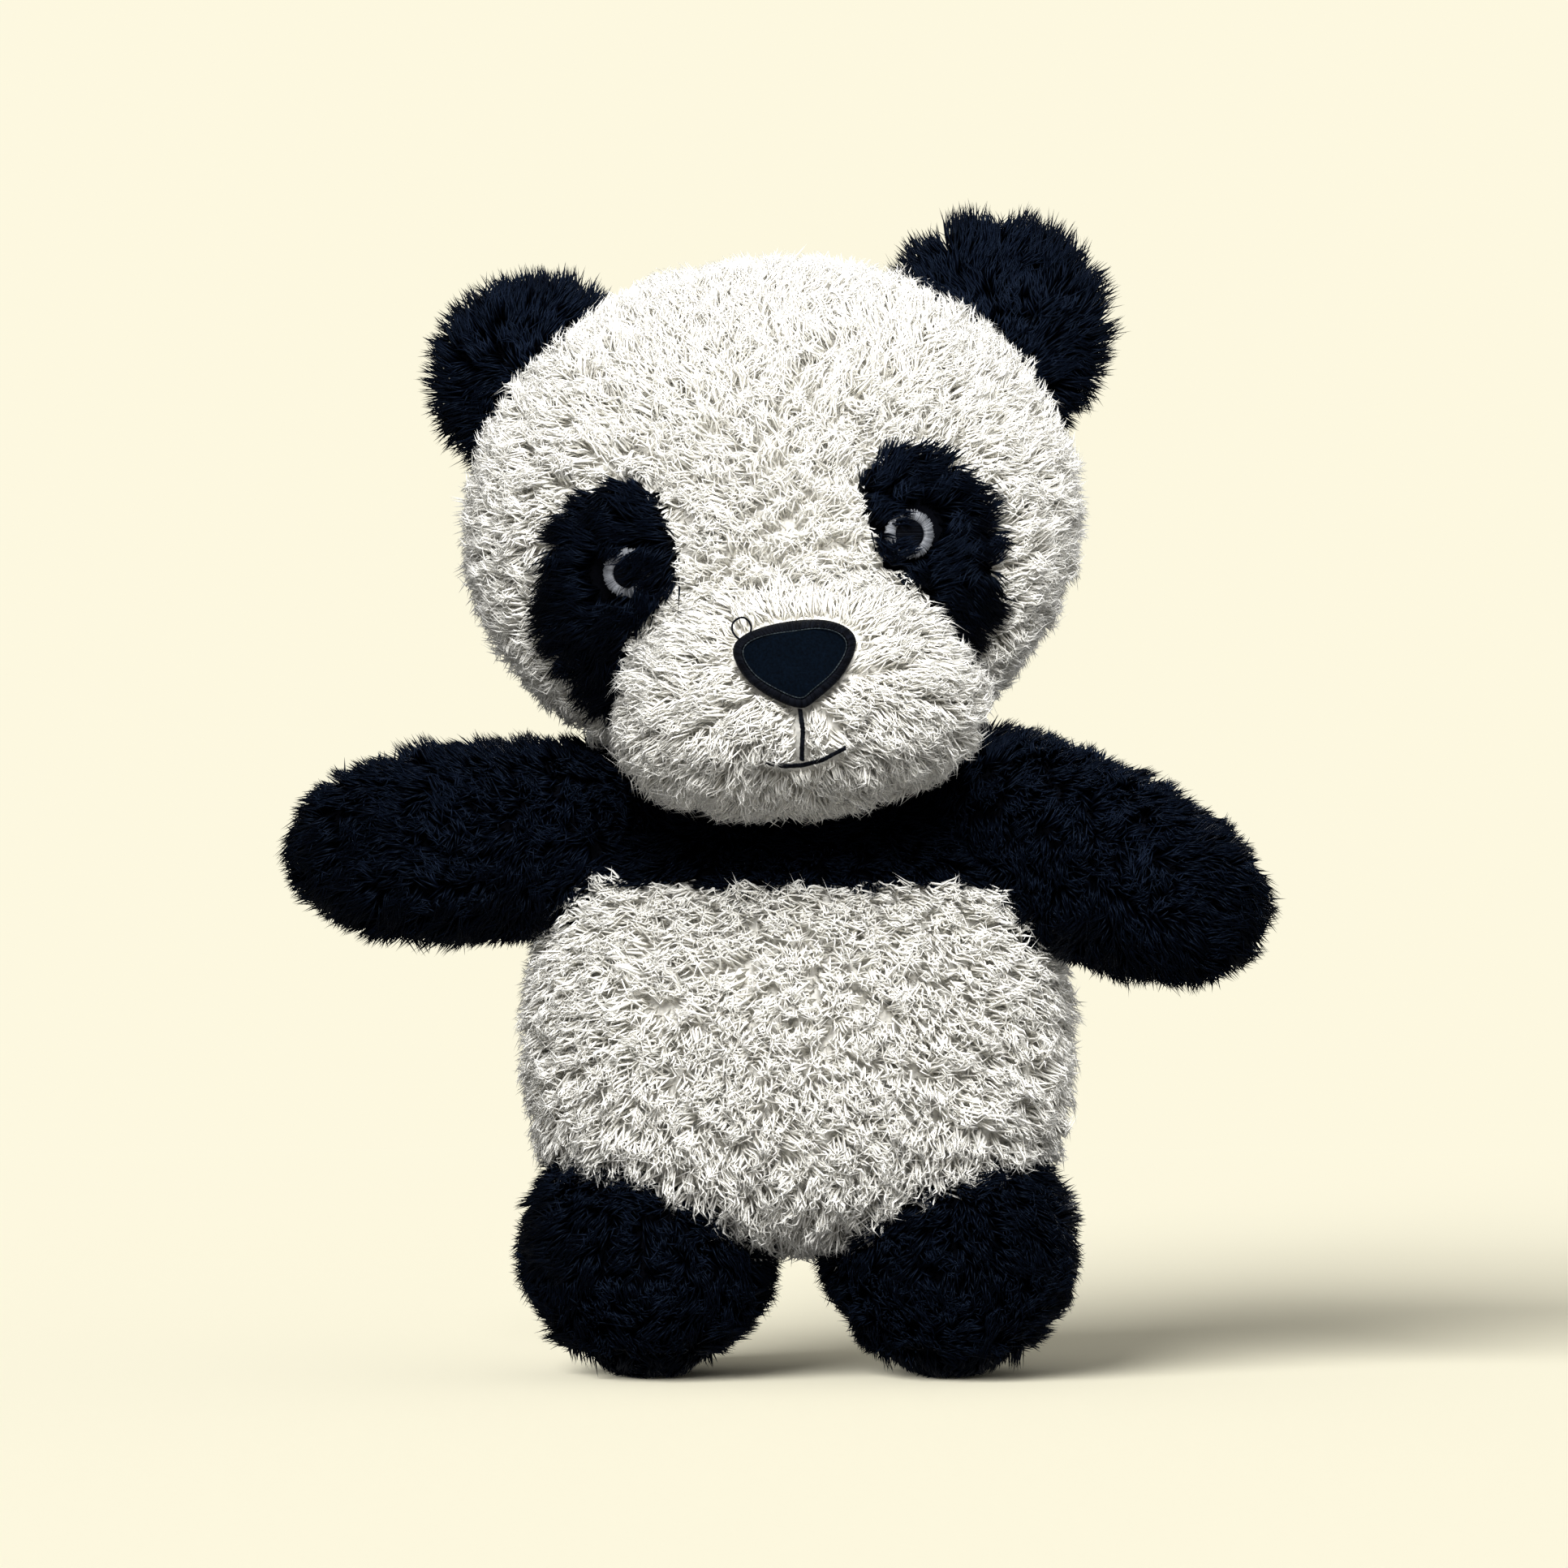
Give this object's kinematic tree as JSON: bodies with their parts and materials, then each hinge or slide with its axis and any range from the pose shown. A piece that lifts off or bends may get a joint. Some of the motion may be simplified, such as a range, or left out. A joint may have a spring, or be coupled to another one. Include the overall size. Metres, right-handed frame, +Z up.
{
  "type": "plush panda",
  "caption": "Standing plush panda of long-pile fabric over stuffing; arms, legs, ears and neck flex at their seams.",
  "frame": {"origin": "middle of the bounding box's underside, on the floor between the feet", "axes": "+Z up, -Y the way the face looks, +X to the panda's own left"},
  "size_m": [0.2404, 0.1414, 0.2832],
  "materials": {
    "white_pile": "matte",
    "black_pile": "matte",
    "stuffing": "matte",
    "nose_felt": "matte",
    "black_thread": "satin",
    "grey_thread": "satin"
  },
  "bodies": {
    "torso": {"chest_front": "black_pile", "chest_back_left": "black_pile", "chest_back_right": "black_pile", "belly_front": "white_pile", "belly_back_left": "white_pile", "belly_back_right": "white_pile", "torso_filling": "stuffing"},
    "neck": {"neck_filling": "stuffing"},
    "head": {"face_panel_left": "white_pile", "face_panel_right": "white_pile", "head_back_left": "white_pile", "head_back_right": "white_pile", "head_filling": "stuffing", "muzzle_shell": "white_pile", "muzzle_filling": "stuffing", "left_eye_patch": "black_pile", "left_eye_ring": "grey_thread", "left_pupil": "black_thread", "right_eye_patch": "black_pile", "right_eye_ring": "grey_thread", "right_pupil": "black_thread", "nose_patch": "nose_felt", "nose_border_stitch": "black_thread", "nose_thread_loop": "black_thread", "philtrum_stitch": "black_thread", "mouth_stitch": "black_thread"},
    "left_ear": {"left_ear_front": "black_pile", "left_ear_back": "black_pile"},
    "right_ear": {"right_ear_front": "black_pile", "right_ear_back": "black_pile"},
    "left_arm": {"left_arm_front": "black_pile", "left_arm_back": "black_pile", "left_arm_filling": "stuffing"},
    "right_arm": {"right_arm_front": "black_pile", "right_arm_back": "black_pile", "right_arm_filling": "stuffing"},
    "left_leg": {"left_leg_outer": "black_pile", "left_leg_inner": "black_pile", "left_leg_sole": "black_pile", "left_leg_filling": "stuffing"},
    "right_leg": {"right_leg_outer": "black_pile", "right_leg_inner": "black_pile", "right_leg_sole": "black_pile", "right_leg_filling": "stuffing"}
  },
  "joints": [
    {"name": "neck_turn", "type": "hinge", "parent": "torso", "child": "neck", "pos_m": [0.00648, 0.01504, 0.148], "axis": [0, 0, 1], "range_deg": [-15, 15], "stiffness_Nm_per_rad": 0.8},
    {"name": "head_nod", "type": "hinge", "parent": "neck", "child": "head", "pos_m": [0.00648, 0.01504, 0.148], "axis": [1, 0, 0], "range_deg": [-8, 8], "stiffness_Nm_per_rad": 2.5},
    {"name": "left_ear_fold", "type": "hinge", "parent": "head", "child": "left_ear", "pos_m": [0.0547, 0.01904, 0.25], "axis": [0.766, 0, -0.6428], "range_deg": [-15, 15], "stiffness_Nm_per_rad": 0.05},
    {"name": "right_ear_fold", "type": "hinge", "parent": "head", "child": "right_ear", "pos_m": [-0.05812, 0.01904, 0.24581], "axis": [0.6428, 0, 0.766], "range_deg": [-15, 15], "stiffness_Nm_per_rad": 0.05},
    {"name": "left_arm_lift", "type": "hinge", "parent": "torso", "child": "left_arm", "pos_m": [0.05048, 0.01504, 0.138], "axis": [0, 1, 0], "range_deg": [-8, 20], "stiffness_Nm_per_rad": 0.6},
    {"name": "right_arm_lift", "type": "hinge", "parent": "torso", "child": "right_arm", "pos_m": [-0.03752, 0.01504, 0.133], "axis": [0, 1, 0], "range_deg": [-20, 8], "stiffness_Nm_per_rad": 0.6},
    {"name": "left_leg_swing", "type": "hinge", "parent": "torso", "child": "left_leg", "pos_m": [0.04448, 0.01504, 0.048], "axis": [1, 0, 0], "range_deg": [-15, 15], "stiffness_Nm_per_rad": 3},
    {"name": "right_leg_swing", "type": "hinge", "parent": "torso", "child": "right_leg", "pos_m": [-0.03152, 0.01504, 0.048], "axis": [1, 0, 0], "range_deg": [-15, 15], "stiffness_Nm_per_rad": 3}
  ]
}
